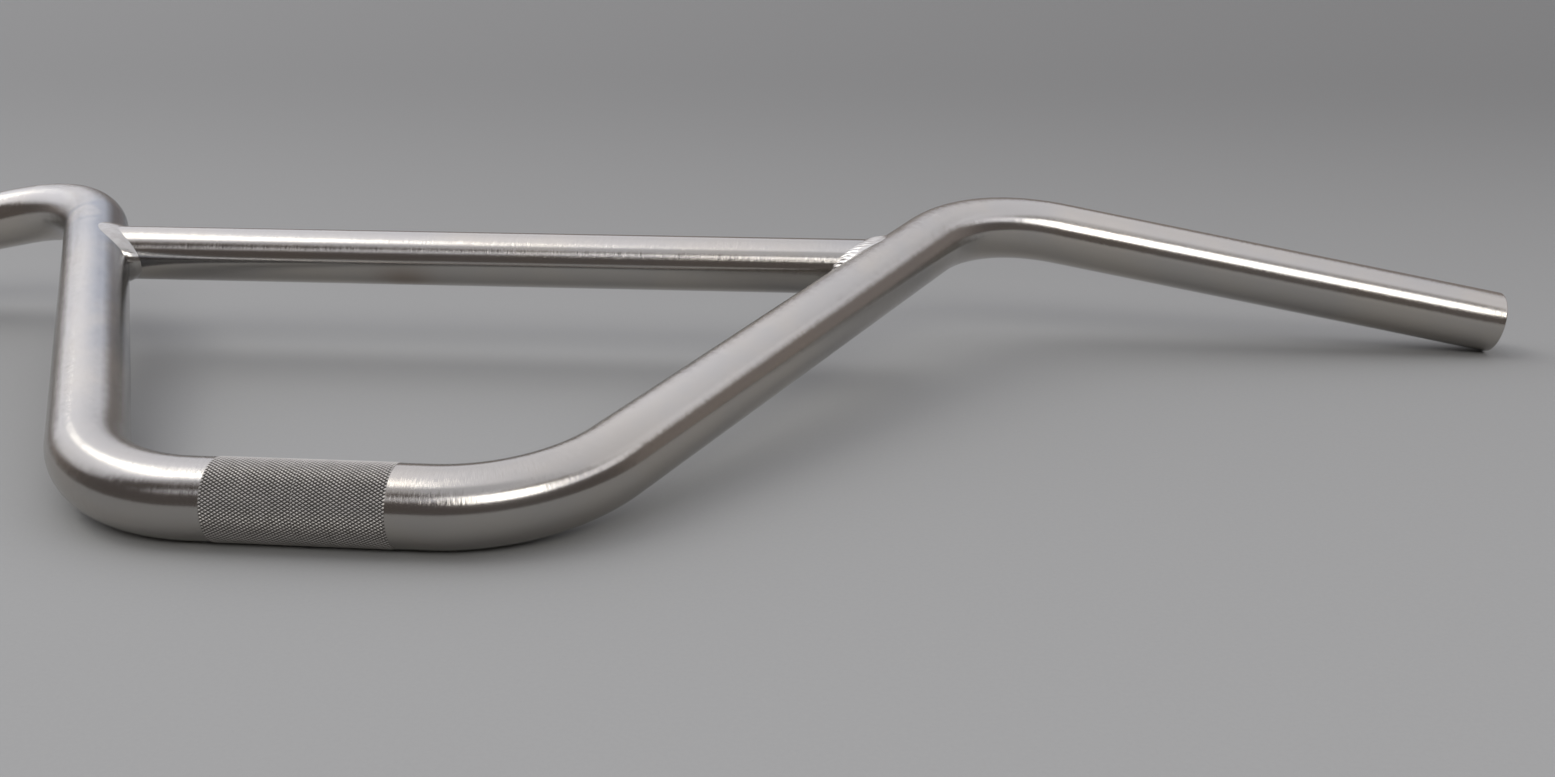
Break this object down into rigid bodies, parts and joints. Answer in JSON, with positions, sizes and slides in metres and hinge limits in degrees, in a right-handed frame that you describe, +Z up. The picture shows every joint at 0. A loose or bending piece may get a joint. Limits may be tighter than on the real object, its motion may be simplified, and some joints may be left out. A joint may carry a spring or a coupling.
{
  "type": "bmx handlebar",
  "caption": "High-rise bicycle handlebar: a bent round tube with a knurled clamp section, open ends and a straight crossbar welded between its uprights.",
  "frame": {"origin": "centre of the clamp section, on the tube's axis", "axes": "+X along the clamp section, +Y from it towards the grips, +Z up, with the bar lying as it comes to rest"},
  "size_m": [0.7338, 0.2376, 0.0568],
  "materials": {
    "brushed_tube": "bare satin metal, finely brushed round the tube",
    "brushed_crossbar": "bare satin metal, finely brushed round the tube",
    "weld_bead": "bare rippled weld metal, brighter than the tubes"
  },
  "bodies": {
    "root": {"main_tube": "brushed_tube", "crossbar": "brushed_crossbar", "left_weld": "weld_bead", "right_weld": "weld_bead"}
  },
  "joints": []
}
